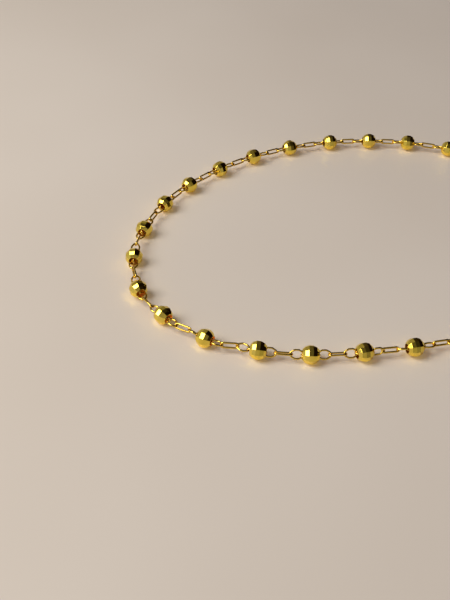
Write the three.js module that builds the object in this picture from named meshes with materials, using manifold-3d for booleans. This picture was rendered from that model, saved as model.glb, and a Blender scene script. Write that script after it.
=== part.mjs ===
// Choker of faceted hollow gold beads, spaced evenly along a fine chain that a plain spring-ring clasp closes.
// Millimetres, +Z up. It lies flat in a loop: the beads rest on Z = 0, and the loop's box is centred on X = Y = 0.

import * as THREE from 'three';
import Module from 'manifold-3d';
import { mergeVertices } from 'three/addons/utils/BufferGeometryUtils.js';

const beadCount = 32;
const claspStretch = 26; // route length from the last bead, over the clasp, to the first bead

const bead = {
  sides: 10,
  sphereRadius: 2.08, // every outer corner lies on this sphere
  cutLatitudes: [12, 35, 56], // degrees from the bead's equator to each ring of corners
  holeRadius: 1.05,
  domeRadius: 1.52, // inner wall part way to the hole
  domeReach: 0.98,
  boreRadius: 1.82, // inner wall at the equator
};

const chain = { radius: 0.6, sides: 8, steps: 80, claspGap: 0.3, wire: 0.3, endHeight: 0.9 };

const clasp = { ringRadius: 2.4, ringWire: 0.5, ringSides: 8, ringSteps: 24,
  eyeRadius: 1.0, eyeWire: 0.35, eyeSides: 6, eyeSteps: 14, eyeOverlap: 0.05 };

const goldColor = 0xe2b13c;
const paleGoldColor = 0xeac25a;

// The loop seen from above, from the clasp at the right end round by the back: the back runs nearly straight,
// the left end is a tight bend, and the front comes home in a shallow curve.
const routePoints = [
  { x: 74, y: -1 },
  { x: 62.5, y: 18.5 },
  { x: 42.5, y: 30 },
  { x: 21, y: 36.5 },
  { x: -0.5, y: 42.5 },
  { x: -23, y: 41.5 },
  { x: -43.5, y: 33 },
  { x: -60, y: 18.5 },
  { x: -70, y: -1 },
  { x: -69.5, y: -23 },
  { x: -54, y: -38.5 },
  { x: -32.5, y: -42.5 },
  { x: -10.5, y: -39.5 },
  { x: 11.5, y: -36.5 },
  { x: 33.5, y: -33 },
  { x: 55, y: -28 },
  { x: 71, y: -15.5 },
];

// How far a bead has slid along the chain (mm), and how far it lies off the chain's line (yaw) and off its
// resting facet (roll) in degrees. The beads not listed sit square and evenly spaced.
const beadSlack = {
  bead_02: { slide: 0, yaw: 0, roll: 6 },
  bead_04: { slide: 0, yaw: 0, roll: -8 },
  bead_06: { slide: 0, yaw: 0, roll: 3 },
  bead_08: { slide: 0, yaw: 0, roll: 6 },
  bead_09: { slide: -0.3, yaw: 0, roll: -5 },
  bead_10: { slide: -0.4, yaw: 0, roll: 0 },
  bead_11: { slide: 0.3, yaw: 0, roll: 8 },
  bead_12: { slide: 0.4, yaw: 0, roll: -7 },
  bead_13: { slide: 0.3, yaw: 0, roll: 5 },
  bead_14: { slide: 0.3, yaw: 0, roll: -9 },
  bead_15: { slide: -0.5, yaw: 0, roll: 4 },
  bead_17: { slide: 0, yaw: 0, roll: 11 },
  bead_18: { slide: 0.5, yaw: 0, roll: -11 },
  bead_19: { slide: -0.3, yaw: 0, roll: 4 },
  bead_21: { slide: 0.4, yaw: 0, roll: -10 },
  bead_23: { slide: 0, yaw: 8, roll: -8 },
  bead_24: { slide: -0.4, yaw: 7, roll: -8 },
  bead_25: { slide: 0, yaw: 0, roll: 5 },
  bead_27: { slide: 0, yaw: 0, roll: -9 },
  bead_29: { slide: 0, yaw: 0, roll: 7 },
  bead_31: { slide: 0, yaw: 0, roll: -4 },
};
const noSlack = { slide: 0, yaw: 0, roll: 0 };

const degree = Math.PI / 180;
const bandRadius = bead.sphereRadius * Math.cos(bead.cutLatitudes[0] * degree);
const halfSide = Math.PI / bead.sides;
const beadHeight = bandRadius * Math.cos(halfSide);

const wasm = await Module();
wasm.setup();

const route = new THREE.CatmullRomCurve3(routePoints.map((p) => new THREE.Vector3(p.x, p.y, 0)), true);
route.arcLengthDivisions = 2000;
const routeLength = route.getLength();

// The eye's far side and the ring's far side, measured along the clasp from the ring's centre.
const ringReach = clasp.ringRadius + clasp.ringWire;
const eyeCentre = ringReach + clasp.eyeRadius - clasp.eyeOverlap;
const claspLength = ringReach + eyeCentre + clasp.eyeRadius + clasp.eyeWire;
const claspHeight = chain.wire + clasp.ringWire; // it lies on the wire of the chain's end links

// The chain runs at the beads' centres, and comes down to the clasp over the last stretch.
const chainStart = claspLength / 2 + chain.claspGap;
const chainLevelFrom = claspStretch / 2 - bead.sphereRadius;

function chainHeight(along) {
  const fromClasp = Math.min(along, routeLength - along);
  const rise = THREE.MathUtils.smoothstep(fromClasp, chainStart, chainLevelFrom);
  return THREE.MathUtils.lerp(chain.endHeight, beadHeight, rise);
}

class ChainLine extends THREE.Curve {
  getPoint(t, target = new THREE.Vector3()) {
    const along = THREE.MathUtils.lerp(chainStart, routeLength - chainStart, t);
    target.copy(route.getPointAt(along / routeLength));
    target.z = chainHeight(along);
    return target;
  }
}

function goldMaterial(color, roughness) {
  return new THREE.MeshStandardMaterial({ color, roughness, metalness: 1 });
}

// Outer corners from one end face to the other, then the inner wall back, closing on the first point.
function beadProfile() {
  const corner = (latitude) => new THREE.Vector2(
    bead.sphereRadius * Math.cos(latitude * degree), bead.sphereRadius * Math.sin(latitude * degree));
  const latitudes = [...bead.cutLatitudes.map((d) => -d).reverse(), ...bead.cutLatitudes];
  const outer = latitudes.map(corner);
  const endReach = bead.sphereRadius * Math.sin(bead.cutLatitudes.at(-1) * degree);
  const inner = [
    new THREE.Vector2(bead.holeRadius, endReach),
    new THREE.Vector2(bead.domeRadius, bead.domeReach),
    new THREE.Vector2(bead.boreRadius, 0),
    new THREE.Vector2(bead.domeRadius, -bead.domeReach),
    new THREE.Vector2(bead.holeRadius, -endReach),
  ];
  return [...outer, ...inner, outer[0].clone()];
}

function makeBeads() {
  const beads = new THREE.Group();
  const shape = new THREE.LatheGeometry(beadProfile(), bead.sides, halfSide);
  const pitch = (routeLength - claspStretch) / (beadCount - 1);
  for (let i = 0; i < beadCount; i += 1) {
    const name = `bead_${String(i + 1).padStart(2, '0')}`;
    const slack = beadSlack[name] ?? noSlack;
    const at = (claspStretch / 2 + i * pitch + slack.slide) / routeLength;
    const heading = route.getTangentAt(at);
    const mesh = new THREE.Mesh(shape, goldMaterial(goldColor, 0.12));
    mesh.name = name;
    mesh.position.copy(route.getPointAt(at));
    mesh.position.z = bandRadius * Math.cos(halfSide - Math.abs(slack.roll) * degree);
    // The lathe's axis turns onto the heading, keeping a facet square to the floor, then the bead rolls on it.
    const headingAngle = Math.atan2(heading.y, heading.x) + slack.yaw * degree;
    mesh.rotation.set(0, 0, headingAngle - Math.PI / 2);
    mesh.rotateY(slack.roll * degree);
    beads.add(mesh);
  }
  return beads;
}

function makeChain() {
  const section = new THREE.Shape();
  section.absarc(0, 0, chain.radius, 0, 2 * Math.PI);
  const geometry = new THREE.ExtrudeGeometry(section, {
    steps: chain.steps,
    curveSegments: chain.sides / 2,
    extrudePath: new ChainLine(),
  });
  const mesh = new THREE.Mesh(geometry, goldMaterial(paleGoldColor, 0.2));
  mesh.name = 'chain';
  return mesh;
}

function toManifold(geometry) {
  geometry.deleteAttribute('normal');
  geometry.deleteAttribute('uv');
  const merged = mergeVertices(geometry, 1e-4);
  return new wasm.Manifold(new wasm.Mesh({
    numProp: 3,
    vertProperties: new Float32Array(merged.attributes.position.array),
    triVerts: new Uint32Array(merged.index.array),
  }));
}

function fromManifold(solid) {
  const mesh = solid.getMesh();
  const geometry = new THREE.BufferGeometry();
  geometry.setAttribute('position', new THREE.BufferAttribute(mesh.vertProperties, 3));
  geometry.setIndex(new THREE.BufferAttribute(mesh.triVerts, 1));
  return geometry;
}

// A closed ring with a small eye soldered on its rim, lying flat with its eye towards the first bead.
function makeClasp() {
  const ring = new THREE.TorusGeometry(clasp.ringRadius, clasp.ringWire, clasp.ringSides, clasp.ringSteps);
  const eye = new THREE.TorusGeometry(clasp.eyeRadius, clasp.eyeWire, clasp.eyeSides, clasp.eyeSteps);
  eye.translate(eyeCentre, 0, 0);
  const geometry = fromManifold(toManifold(ring).add(toManifold(eye)));
  geometry.translate(ringReach - claspLength / 2, 0, 0);
  const mesh = new THREE.Mesh(geometry, goldMaterial(goldColor, 0.15));
  mesh.name = 'clasp';
  const heading = route.getTangentAt(0);
  mesh.position.copy(route.getPointAt(0));
  mesh.position.z = claspHeight;
  mesh.rotation.z = Math.atan2(heading.y, heading.x);
  return mesh;
}

const choker = new THREE.Group();
choker.add(makeBeads(), makeChain(), makeClasp());

// Shift the whole loop so that its box is centred on X = Y = 0. The lowest facets are already on Z = 0.
const centre = new THREE.Box3().setFromObject(choker, true).getCenter(new THREE.Vector3());
choker.position.set(-centre.x, -centre.y, 0);

export default choker;
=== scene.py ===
# Choker of faceted gold beads on a fine oval-link chain, laid in a loop on a pale floor.
# Metres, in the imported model's frame. Each bead starts from its own solid; links and clasp are drawn here.
import math

import bmesh
import bpy
from mathutils import Matrix, Vector


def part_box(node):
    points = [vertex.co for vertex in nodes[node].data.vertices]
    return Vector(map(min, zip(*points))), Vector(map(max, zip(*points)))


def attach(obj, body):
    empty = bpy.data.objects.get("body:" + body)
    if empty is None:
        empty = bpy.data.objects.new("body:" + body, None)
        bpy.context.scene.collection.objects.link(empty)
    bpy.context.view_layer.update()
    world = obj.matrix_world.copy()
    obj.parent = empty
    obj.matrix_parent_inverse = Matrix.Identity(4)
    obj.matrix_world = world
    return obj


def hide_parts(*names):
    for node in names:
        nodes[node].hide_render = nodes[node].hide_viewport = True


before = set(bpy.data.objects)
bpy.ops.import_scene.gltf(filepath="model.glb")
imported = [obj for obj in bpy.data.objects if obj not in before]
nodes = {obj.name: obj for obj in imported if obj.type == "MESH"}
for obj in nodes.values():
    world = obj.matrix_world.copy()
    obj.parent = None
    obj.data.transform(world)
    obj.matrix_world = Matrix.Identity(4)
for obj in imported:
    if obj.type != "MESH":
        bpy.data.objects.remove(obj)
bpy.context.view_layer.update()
scene = bpy.context.scene
mm = 0.001
print("frame loaded:", len(nodes), "nodes")


# camera
cameraLook = {
    "place": (-0.0520, -0.1673, 0.1245),
    "down": 41.03,  # degrees below level
    "roll": 1.57,
    "lens": 51.36,
    "sensor": 36,
    "clip": (0.01, 20),
}


def makeCamera():
    data = bpy.data.cameras.new("camera")
    data.lens = cameraLook["lens"]
    data.sensor_width = cameraLook["sensor"]
    data.clip_start, data.clip_end = cameraLook["clip"]
    camera = bpy.data.objects.new("camera", data)
    scene.collection.objects.link(camera)
    tilt = Matrix.Rotation(math.radians(90 - cameraLook["down"]), 4, "X")
    roll = Matrix.Rotation(math.radians(cameraLook["roll"]), 4, "Z")
    camera.matrix_world = Matrix.Translation(cameraLook["place"]) @ tilt @ roll
    scene.camera = camera


makeCamera()
print("camera set")


# materials
noiseSpan = (0.3, 0.7)  # where most of a noise texture's values lie


def newMaterial(name):
    material = bpy.data.materials.new(name)
    material.use_nodes = True
    tree = material.node_tree
    return material, tree, tree.nodes["Principled BSDF"]


def objectNoise(tree, scale, detail, stretch=(1, 1, 1)):
    place = tree.nodes.new("ShaderNodeTexCoord")
    mapping = tree.nodes.new("ShaderNodeMapping")
    mapping.inputs["Scale"].default_value = stretch
    noise = tree.nodes.new("ShaderNodeTexNoise")
    noise.inputs["Scale"].default_value = scale
    noise.inputs["Detail"].default_value = detail
    tree.links.new(place.outputs["Object"], mapping.inputs["Vector"])
    tree.links.new(mapping.outputs["Vector"], noise.inputs["Vector"])
    return noise.outputs["Fac"]


def ramp(tree, source, stops):
    node = tree.nodes.new("ShaderNodeValToRGB")
    first, last = node.color_ramp.elements
    first.position, first.color = stops[0][0], (*stops[0][1], 1)
    last.position, last.color = stops[-1][0], (*stops[-1][1], 1)
    for position, color in stops[1:-1]:
        node.color_ramp.elements.new(position).color = (*color, 1)
    tree.links.new(source, node.inputs["Fac"])
    return node.outputs["Color"]


def mixColors(tree, way, factor, first, second):
    mix = tree.nodes.new("ShaderNodeMix")
    mix.data_type = "RGBA"
    mix.blend_type = way
    for socket, value in (("Factor_Float", factor), ("A_Color", first), ("B_Color", second)):
        target = next(i for i in mix.inputs if i.identifier == socket)
        if isinstance(value, bpy.types.NodeSocket):
            tree.links.new(value, target)
        else:
            target.default_value = value
    return next(o for o in mix.outputs if o.identifier == "Result_Color")


def spread(tree, source, low, high):
    node = tree.nodes.new("ShaderNodeMapRange")
    node.inputs["From Min"].default_value, node.inputs["From Max"].default_value = noiseSpan
    node.inputs["To Min"].default_value = low
    node.inputs["To Max"].default_value = high
    tree.links.new(source, node.inputs["Value"])
    return node.outputs["Result"]


def bump(tree, source, depth, under=None):
    node = tree.nodes.new("ShaderNodeBump")
    node.inputs["Strength"].default_value = 1
    node.inputs["Distance"].default_value = depth
    tree.links.new(source, node.inputs["Height"])
    if under is not None:
        tree.links.new(under, node.inputs["Normal"])
    return node.outputs["Normal"]


# what every gold shares: how fine each noise is, how far the polishing lines are drawn out, and its lacquer
goldGrain = {
    "toneDetail": 3,
    "polishDetail": 4,
    "waveDetail": 1,
    "lineDetail": 2,
    "lineStretch": (1, 6, 6),
    "lacquerRoughness": 0.08,
}
goldLooks = {
    "bead_gold": {
        "tones": ((0.84, 0.625, 0.085), (0.91, 0.690, 0.130)),
        "toneScale": 500,
        "polishScale": 2600,
        "roughness": (0.04, 0.11),
        "waveScale": 700,
        "waveDepth": 0.000010,
        "lineScale": 4000,
        "lineDepth": 0.0000012,
        "lacquer": 0.0,
    },
    # the inside's deep red-orange tone is a painted glow of light bouncing about in the hollow; its rougher
    # finish is real
    "bead_hollow_painted_glow": {
        "tones": ((0.70, 0.27, 0.045), (0.84, 0.40, 0.075)),
        "toneScale": 900,
        "polishScale": 2600,
        "roughness": (0.32, 0.5),
        "waveScale": 1500,
        "waveDepth": 0.00003,
        "lineScale": 5000,
        "lineDepth": 0.000004,
        "lacquer": 0.0,
    },
    "chain_gold": {
        "tones": ((0.70, 0.44, 0.055), (0.87, 0.61, 0.115)),
        "toneScale": 700,
        "polishScale": 4000,
        "roughness": (0.07, 0.15),
        "waveScale": 1800,
        "waveDepth": 0.000010,
        "lineScale": 7000,
        "lineDepth": 0.000002,
        "lacquer": 0.4,
    },
    "clasp_gold": {
        "tones": ((0.84, 0.63, 0.11), (0.90, 0.70, 0.16)),
        "toneScale": 500,
        "polishScale": 3000,
        "roughness": (0.08, 0.18),
        "waveScale": 1200,
        "waveDepth": 0.000012,
        "lineScale": 5000,
        "lineDepth": 0.000002,
        "lacquer": 0.5,
    },
}


def makeGold(name):
    look = goldLooks[name]
    material, tree, shader = newMaterial(name)
    tone = objectNoise(tree, look["toneScale"], goldGrain["toneDetail"])
    tree.links.new(ramp(tree, tone, list(zip(noiseSpan, look["tones"]))), shader.inputs["Base Color"])
    shader.inputs["Metallic"].default_value = 1
    shader.inputs["Coat Weight"].default_value = look["lacquer"]
    shader.inputs["Coat Roughness"].default_value = goldGrain["lacquerRoughness"]
    polish = objectNoise(tree, look["polishScale"], goldGrain["polishDetail"])
    tree.links.new(spread(tree, polish, *look["roughness"]), shader.inputs["Roughness"])
    waves = bump(tree, objectNoise(tree, look["waveScale"], goldGrain["waveDetail"]), look["waveDepth"])
    lines = objectNoise(tree, look["lineScale"], goldGrain["lineDetail"], goldGrain["lineStretch"])
    tree.links.new(bump(tree, lines, look["lineDepth"], waves), shader.inputs["Normal"])
    return material


golds = {name: makeGold(name) for name in goldLooks}
print("gold finishes made:", len(golds))


def finishPiece(bm, name, materials, replaced):
    mesh = bpy.data.meshes.new(name)
    bm.to_mesh(mesh)
    bm.free()
    for material in materials:
        mesh.materials.append(golds[material])
    piece = bpy.data.objects.new(name, mesh)
    scene.collection.objects.link(piece)
    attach(piece, "root")
    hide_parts(replaced)
    return piece


# beads: each one is its solid's own facets, with the cut edges rounded a little
beadLook = {
    "edge": 0.03 * mm,
    "edgeSteps": 2,
    "weld": 0.001 * mm,
    "flat": 1,  # degrees: triangles that meet at less are one facet
    "cut": 5,  # degrees: facets that meet at more have an edge to round
}
beadNames = sorted(name for name in nodes if name.startswith("bead_"))


def middle(name):
    low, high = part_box(name)
    return (low + high) / 2


def makeBead(name):
    bm = bmesh.new()
    bm.from_mesh(nodes[name].data)
    bmesh.ops.remove_doubles(bm, verts=bm.verts, dist=beadLook["weld"])
    bmesh.ops.join_triangles(bm, faces=bm.faces, angle_face_threshold=math.radians(beadLook["flat"]),
                             angle_shape_threshold=math.pi)
    centre = middle(name)
    inside = {f for f in bm.faces if f.normal.dot(f.calc_center_median() - centre) < 0}
    # the inside faces take the hollow finish, whose red-orange tone is a painted glow of bounced light
    for face in bm.faces:
        face.material_index = int(face in inside)
        face.smooth = face in inside
    cutEdges = [e for e in bm.edges if not inside.issuperset(e.link_faces)
                and e.calc_face_angle(0) > math.radians(beadLook["cut"])]
    bmesh.ops.bevel(bm, geom=cutEdges, offset=beadLook["edge"], offset_type="OFFSET", affect="EDGES",
                    segments=beadLook["edgeSteps"], profile=0.5, material=-1)
    finishPiece(bm, "faceted_" + name, ["bead_gold", "bead_hollow_painted_glow"], name)


for name in beadNames:
    makeBead(name)
print("beads made:", len(beadNames))


# chain: oval links on the line through the beads; the slim ones and those inside beads lie turned
chainLook = {
    "wire": 0.46 * mm,
    "wireSides": 6,
    "weld": 0.005 * mm,
    # half length, half width and end radius of the wire's middle line in mm, and the steps of an end arc
    # and of a side arc
    "shapes": {
        "oval": {"half": 1.39, "width": 0.96, "endRadius": 0.69, "endSteps": 4, "sideSteps": 3},
        "slim": {"half": 1.838, "width": 0.53, "endRadius": 0.49, "endSteps": 5, "sideSteps": 1},
        "inBead": {"half": 1.87, "width": 0.57, "endRadius": 0.53, "endSteps": 4, "sideSteps": 1},
        "end": {"half": 1.506, "width": 0.75, "endRadius": 0.66, "endSteps": 4, "sideSteps": 2},
    },
    "lineSteps": 24,  # of the chain's line, from bead to bead
    "claspSpan": 26 * mm,  # length of the line from the last bead, over the clasp, to the first
    "ovalFromBead": 2.80 * mm,
    "slimFromOval": 2.77 * mm,
    "slimFromEnd": 2.884 * mm,
    "endHeight": 1.0 * mm,
    "endReach": 4.35 * mm,
    "levelReach": 10.92 * mm,
    # degrees between a slim link, or the link inside a bead, and the ovals
    "turned": {"slim": 65, "inBead": 90},
    # turn of the ovals about the line, in degrees, at bead numbers
    "twist": [(0, 90), (1, 90), (7, 164), (14, 166), (15, 165), (15.5, 182), (16, 172), (16.25, 180),
              (16.5, 222), (16.75, 180), (17.25, 180), (17.5, 222), (17.75, 178), (18.25, 170),
              (18.5, 166), (18.75, 186), (19.25, 190), (19.5, 255), (19.75, 226), (20.25, 199),
              (20.5, 235), (20.75, 172), (21, 135), (22.75, 131), (23.25, 90), (23.5, 95), (23.75, 223),
              (24.25, 196), (24.5, 221), (24.75, 176), (25.25, 131), (28, 120), (32, 90), (33, 90)],
    # shift of the links towards the loop's middle, in mm, at bead numbers
    "bow": [(0, 0), (17.125, 0), (17.375, -0.15), (17.625, 0.3), (17.875, 0), (19.125, 0), (19.375, -0.4),
            (19.625, 0.4), (19.875, 0), (20.125, 0), (20.375, -0.5), (20.625, 0.5), (20.875, 0), (23.5, 0),
            (23.8, -0.12), (24, 0), (24.35, 0.5), (24.62, 1.05), (24.8, 0.35), (24.875, 0.04), (25, 0),
            (33, 0)],
    # rise of the links above the line, in mm, at bead numbers
    "rise": [(0, 0), (16.34, 0), (16.62, 0.75), (16.87, 0), (33, 0)],
}


def catmull(p, t):
    # a smooth curve from the second of four points to the third, as t goes from 0 to 1
    a, b, c, d = p
    return 0.5 * (2 * b + (c - a) * t + (2 * a - 5 * b + 4 * c - d) * t * t
                  + (3 * b - a - 3 * c + d) * t ** 3)


def claspPlace():
    heading = (middle(beadNames[0]) - middle(beadNames[-1])).normalized()
    side = Vector((-heading.y, heading.x, 0))
    spans = []
    for axis in (heading, side):
        reach = [v.co.dot(axis) for v in nodes["clasp"].data.vertices]
        spans.append((min(reach) + max(reach)) / 2)
    return heading * spans[0] + side * spans[1], heading


class ChainLine:
    # a closed smooth line through the clasp's middle and the beads, measured by length
    def __init__(self):
        stops = [claspPlace()[0]] + [middle(name) for name in beadNames]
        stops = [Vector((p.x, p.y, 0)) for p in stops]
        count = len(stops)
        self.points = []
        for i in range(count):
            p = [stops[(i + k) % count] for k in (-1, 0, 1, 2)]
            steps = chainLook["lineSteps"]
            self.points += [catmull(p, step / steps) for step in range(steps)]
        self.points.append(self.points[0].copy())
        self.reach = [0.0]
        for a, b in zip(self.points, self.points[1:]):
            self.reach.append(self.reach[-1] + (b - a).length)
        self.length = self.reach[-1]
        self.level = middle(beadNames[0]).z

    def height(self, along):
        fromClasp = min(along, self.length - along)
        t = (fromClasp - chainLook["endReach"]) / (chainLook["levelReach"] - chainLook["endReach"])
        t = min(max(t, 0), 1)
        return chainLook["endHeight"] + (self.level - chainLook["endHeight"]) * t * t * (3 - 2 * t)

    def at(self, along):
        k = min(max(sum(r <= along for r in self.reach) - 1, 0), len(self.points) - 2)
        t = (along - self.reach[k]) / (self.reach[k + 1] - self.reach[k])
        p = self.points[k].lerp(self.points[k + 1], t)
        return Vector((p.x, p.y, self.height(along)))


def linkShape(shape):
    # one link in the XY plane, long along X: four arcs of round wire
    look = chainLook["shapes"][shape]
    half, width, endRadius = (look[size] * mm for size in ("half", "width", "endRadius"))
    endCentre = half - endRadius
    sideRadius = (endCentre ** 2 + width ** 2 - endRadius ** 2) / (2 * (width - endRadius))
    endAngle = math.atan2(sideRadius - width, endCentre)
    sideAngle = math.pi / 2 - endAngle
    bm = bmesh.new()
    start = (Matrix.Translation((endCentre, 0, 0)) @ Matrix.Rotation(-endAngle, 4, "Z")
             @ Matrix.Translation((endRadius, 0, 0)) @ Matrix.Rotation(math.pi / 2, 4, "X"))
    bmesh.ops.create_circle(bm, cap_ends=False, segments=chainLook["wireSides"],
                            radius=chainLook["wire"] / 2, matrix=start)
    last = bm.verts[:] + bm.edges[:]
    arcs = [((endCentre, 0, 0), endAngle, look["endSteps"]),
            ((0, width - sideRadius, 0), sideAngle, look["sideSteps"]),
            ((-endCentre, 0, 0), endAngle, look["endSteps"]),
            ((0, sideRadius - width, 0), sideAngle, look["sideSteps"])]
    for centre, angle, steps in arcs:
        turned = bmesh.ops.spin(bm, geom=last, cent=centre, axis=(0, 0, 1), angle=2 * angle, steps=steps)
        last = turned["geom_last"]
    bmesh.ops.remove_doubles(bm, verts=bm.verts, dist=chainLook["weld"])
    bmesh.ops.recalc_face_normals(bm, faces=bm.faces)
    for face in bm.faces:
        face.smooth = True
    mesh = bpy.data.meshes.new("link_" + shape)
    bm.to_mesh(mesh)
    bm.free()
    return mesh


def linkStations(line):
    # the shape of every link and its place along the line, from the clasp round to the clasp
    pitch = (line.length - chainLook["claspSpan"]) / (len(beadNames) - 1)
    oval = chainLook["ovalFromBead"]
    first = chainLook["claspSpan"] / 2
    slim = first - oval - chainLook["slimFromOval"]
    end = slim - chainLook["slimFromEnd"]
    stations = [("end", end), ("slim", slim)]
    for i in range(len(beadNames)):
        bead = first + i * pitch
        stations += [("oval", bead - oval), ("inBead", bead), ("oval", bead + oval)]
        if i < len(beadNames) - 1:
            stations.append(("slim", bead + pitch / 2))
    return stations + [("slim", line.length - slim), ("end", line.length - end)], pitch


def keyed(name, number):
    # the value of one of the tables above at a bead number
    keys = chainLook[name]
    for (a, low), (b, high) in zip(keys, keys[1:]):
        if a <= number <= b:
            return low + (high - low) * (number - a) / (b - a)
    return keys[0][1] if number < keys[0][0] else keys[-1][1]


def makeChain():
    line = ChainLine()
    stations, pitch = linkStations(line)
    shapes = {shape: linkShape(shape) for shape in chainLook["shapes"]}

    # a place along the line as a bead number: 1 at the first bead, 1.5 half way to the second
    def numberAt(along):
        return 1 + (along - chainLook["claspSpan"] / 2) / pitch

    def moved(along):
        ahead = line.at(along + mm) - line.at(along - mm)
        inward = Vector((-ahead.y, ahead.x, 0)).normalized()
        number = numberAt(along)
        shift = inward * keyed("bow", number) + Vector((0, 0, keyed("rise", number)))
        return line.at(along) + shift * mm

    bm = bmesh.new()
    for shape, along in stations:
        half = chainLook["shapes"][shape]["half"] * mm
        heading = (moved(along + half) - moved(along - half)).normalized()
        angle = math.radians(keyed("twist", numberAt(along)) + chainLook["turned"].get(shape, 0))
        level = heading.cross(Vector((0, 0, 1))).normalized()
        width = level * math.cos(angle) + level.cross(heading) * math.sin(angle)
        turn = Matrix((heading, width, heading.cross(width))).transposed().to_4x4()
        already = len(bm.verts)
        bm.from_mesh(shapes[shape])
        bm.verts.ensure_lookup_table()
        bmesh.ops.transform(bm, matrix=Matrix.Translation(moved(along)) @ turn, verts=bm.verts[already:])
    finishPiece(bm, "chain_links", ["chain_gold"], "chain")
    print("chain links made:", len(stations))


makeChain()


# clasp: a closed ring with a small eye soldered on it, lying flat; its sizes are in mm
claspLook = {
    "ring": {"at": -1.11, "radius": 2.51, "wire": 0.35, "steps": 40, "sides": 12},
    "eye": {"at": 2.57, "radius": 1.00, "wire": 0.30, "steps": 28, "sides": 10},
    "solder": {"at": 1.62, "size": (0.30, 0.50, 0.29), "steps": 3},
}


def makeClasp():
    place, heading = claspPlace()
    height = middle("clasp").z
    bm = bmesh.new()
    for part in ("ring", "eye"):
        look = claspLook[part]
        start = len(bm.verts)
        section = Matrix.Translation((look["radius"] * mm, 0, 0)) @ Matrix.Rotation(math.pi / 2, 4, "X")
        circle = bmesh.ops.create_circle(bm, cap_ends=False, segments=look["sides"],
                                         radius=look["wire"] * mm, matrix=section)["verts"]
        edges = list({e for v in circle for e in v.link_edges})
        bmesh.ops.spin(bm, geom=circle + edges, cent=(0, 0, 0), axis=(0, 0, 1), angle=2 * math.pi,
                       steps=look["steps"], use_merge=True)
        bm.verts.ensure_lookup_table()
        bmesh.ops.translate(bm, vec=(look["at"] * mm, 0, 0), verts=bm.verts[start:])
    solder = claspLook["solder"]
    blob = bmesh.ops.create_icosphere(bm, subdivisions=solder["steps"], radius=1)["verts"]
    bmesh.ops.scale(bm, vec=[s * mm for s in solder["size"]], verts=blob)
    bmesh.ops.translate(bm, vec=(solder["at"] * mm, 0, 0), verts=blob)
    bmesh.ops.recalc_face_normals(bm, faces=bm.faces)
    for face in bm.faces:
        face.smooth = True
    turn = Matrix.Rotation(math.atan2(heading.y, heading.x), 4, "Z")
    bmesh.ops.transform(bm, matrix=Matrix.Translation((place.x, place.y, height)) @ turn, verts=bm.verts)
    finishPiece(bm, "clasp_ring", ["clasp_gold"], "clasp")


makeClasp()
print("clasp made")


# floor
floorLook = {
    "size": 16.0,
    "tones": ((0.660, 0.588, 0.570), (0.710, 0.643, 0.635)),
    "toneScale": 9,
    "toneDetail": 2,
    # the floor grows paler from nearReach out to farReach, where the light is weaker
    "farTone": (0.97, 0.93, 0.90),
    "nearReach": 0.35,
    "farReach": 1.6,
    "roughness": (0.38, 0.44),
    "glazeScale": 40,
    "glazeDetail": 3,
    "specular": 0.5,
}


def makeFloor():
    bm = bmesh.new()
    bmesh.ops.create_grid(bm, x_segments=1, y_segments=1, size=floorLook["size"] / 2)
    mesh = bpy.data.meshes.new("floor")
    bm.to_mesh(mesh)
    bm.free()
    floor = bpy.data.objects.new("floor", mesh)
    scene.collection.objects.link(floor)
    material, tree, shader = newMaterial("pale_glaze")
    mottle = objectNoise(tree, floorLook["toneScale"], floorLook["toneDetail"])
    near = ramp(tree, mottle, list(zip(noiseSpan, floorLook["tones"])))
    reach = tree.nodes.new("ShaderNodeVectorMath")
    reach.operation = "LENGTH"
    tree.links.new(tree.nodes.new("ShaderNodeTexCoord").outputs["Object"], reach.inputs[0])
    away = tree.nodes.new("ShaderNodeMapRange")
    away.inputs["From Min"].default_value = floorLook["nearReach"]
    away.inputs["From Max"].default_value = floorLook["farReach"]
    tree.links.new(reach.outputs["Value"], away.inputs["Value"])
    tone = mixColors(tree, "MIX", away.outputs["Result"], near, (*floorLook["farTone"], 1))
    tree.links.new(tone, shader.inputs["Base Color"])
    glaze = objectNoise(tree, floorLook["glazeScale"], floorLook["glazeDetail"])
    tree.links.new(spread(tree, glaze, *floorLook["roughness"]), shader.inputs["Roughness"])
    shader.inputs["Specular IOR Level"].default_value = floorLook["specular"]
    mesh.materials.append(material)


makeFloor()
print("floor made")


# light: a soft box high on the left, an even fill that the gold doesn't mirror, and a dim room that is
# pale low down on the left and dark on the right
lightLook = {
    "box": {"place": (-0.444, -0.094, 0.475), "aim": (0.0, 0.0, 0.0), "size": (0.34, 0.42), "power": 3.3,
            "color": (1.0, 0.96, 0.80)},
    "fill": {"from": (-0.50, 0.10, 2.10), "spread": 110, "strength": 0.37, "color": (1.0, 0.97, 0.95)},
    "roomAxis": (-0.93, -0.37, 0.0),
    "across": [(-1.0, (0.006, 0.003, 0.002)), (-0.55, (0.010, 0.005, 0.003)), (-0.45, (0.04, 0.030, 0.022)),
               (-0.36, (0.14, 0.12, 0.10)), (-0.25, (0.32, 0.30, 0.26)), (0.0, (0.38, 0.35, 0.31)),
               (0.45, (0.36, 0.33, 0.27)), (0.65, (0.50, 0.47, 0.42)),
               (0.8, (0.57, 0.54, 0.52)), (1.0, (0.57, 0.54, 0.58))],
    "upward": [(-0.2, (1.0, 1.0, 1.0)), (0.30, (1.0, 1.0, 1.0)), (0.70, (0.72, 0.72, 0.72)),
               (0.87, (0.28, 0.28, 0.28)), (1.0, (0.18, 0.18, 0.18))],
    "backdrop": (0.62, 0.60, 0.56),
    "bounced": (0.90, 0.86, 0.82),  # the room as the gold throws it back on the floor
    "glossBlur": 0.1,
}


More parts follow.
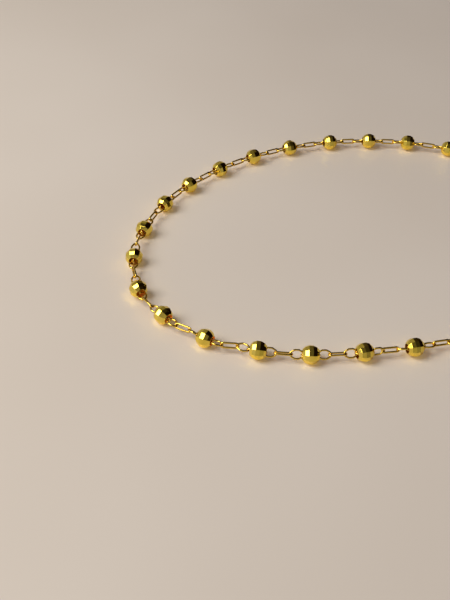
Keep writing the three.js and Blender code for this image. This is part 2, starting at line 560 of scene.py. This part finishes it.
def makeBox():
    look = lightLook["box"]
    data = bpy.data.lights.new("light_box", "AREA")
    data.shape = "RECTANGLE"
    data.size, data.size_y = look["size"]
    data.energy = look["power"]
    data.color = look["color"]
    light = bpy.data.objects.new("light_box", data)
    scene.collection.objects.link(light)
    light.location = look["place"]
    aim = Vector(look["aim"]) - light.location
    light.rotation_euler = aim.to_track_quat("-Z", "Y").to_euler()


def makeFill():
    look = lightLook["fill"]
    data = bpy.data.lights.new("light_fill", "SUN")
    data.angle = math.radians(look["spread"])
    data.energy = look["strength"]
    data.color = look["color"]
    light = bpy.data.objects.new("light_fill", data)
    scene.collection.objects.link(light)
    light.rotation_euler = Vector(look["from"]).to_track_quat("Z", "Y").to_euler()
    light.visible_glossy = False


def roomRamp(tree, value, stops):
    toUnit = tree.nodes.new("ShaderNodeMapRange")
    low, high = stops[0][0], stops[-1][0]
    toUnit.inputs["From Min"].default_value = low
    toUnit.inputs["From Max"].default_value = high
    tree.links.new(value, toUnit.inputs["Value"])
    return ramp(tree, toUnit.outputs["Result"], [((at - low) / (high - low), color) for at, color in stops])


def makeRoom():
    world = bpy.data.worlds.new("room")
    scene.world = world
    world.use_nodes = True
    tree = world.node_tree
    place = tree.nodes.new("ShaderNodeTexCoord").outputs["Generated"]
    along = tree.nodes.new("ShaderNodeVectorMath")
    along.operation = "DOT_PRODUCT"
    along.inputs[1].default_value = lightLook["roomAxis"]
    tree.links.new(place, along.inputs[0])
    split = tree.nodes.new("ShaderNodeSeparateXYZ")
    tree.links.new(place, split.inputs[0])
    across = roomRamp(tree, along.outputs["Value"], lightLook["across"])
    upward = roomRamp(tree, split.outputs["Z"], lightLook["upward"])
    room = mixColors(tree, "MULTIPLY", 1.0, across, upward)
    path = tree.nodes.new("ShaderNodeLightPath")
    # 1 on light that left the floor and then met the gold
    offFloor = tree.nodes.new("ShaderNodeMath")
    offFloor.operation = "SUBTRACT"
    offFloor.use_clamp = True
    tree.links.new(path.outputs["Diffuse Depth"], offFloor.inputs[0])
    tree.links.new(path.outputs["Is Diffuse Ray"], offFloor.inputs[1])
    thrown = mixColors(tree, "MIX", offFloor.outputs[0], room, (*lightLook["bounced"], 1))
    shown = mixColors(tree, "MIX", path.outputs["Is Camera Ray"], thrown, (*lightLook["backdrop"], 1))
    tree.links.new(shown, tree.nodes["Background"].inputs["Color"])


makeBox()
makeFill()
makeRoom()
scene.view_settings.view_transform = "Standard"
scene.cycles.blur_glossy = lightLook["glossBlur"]
print("lights made")
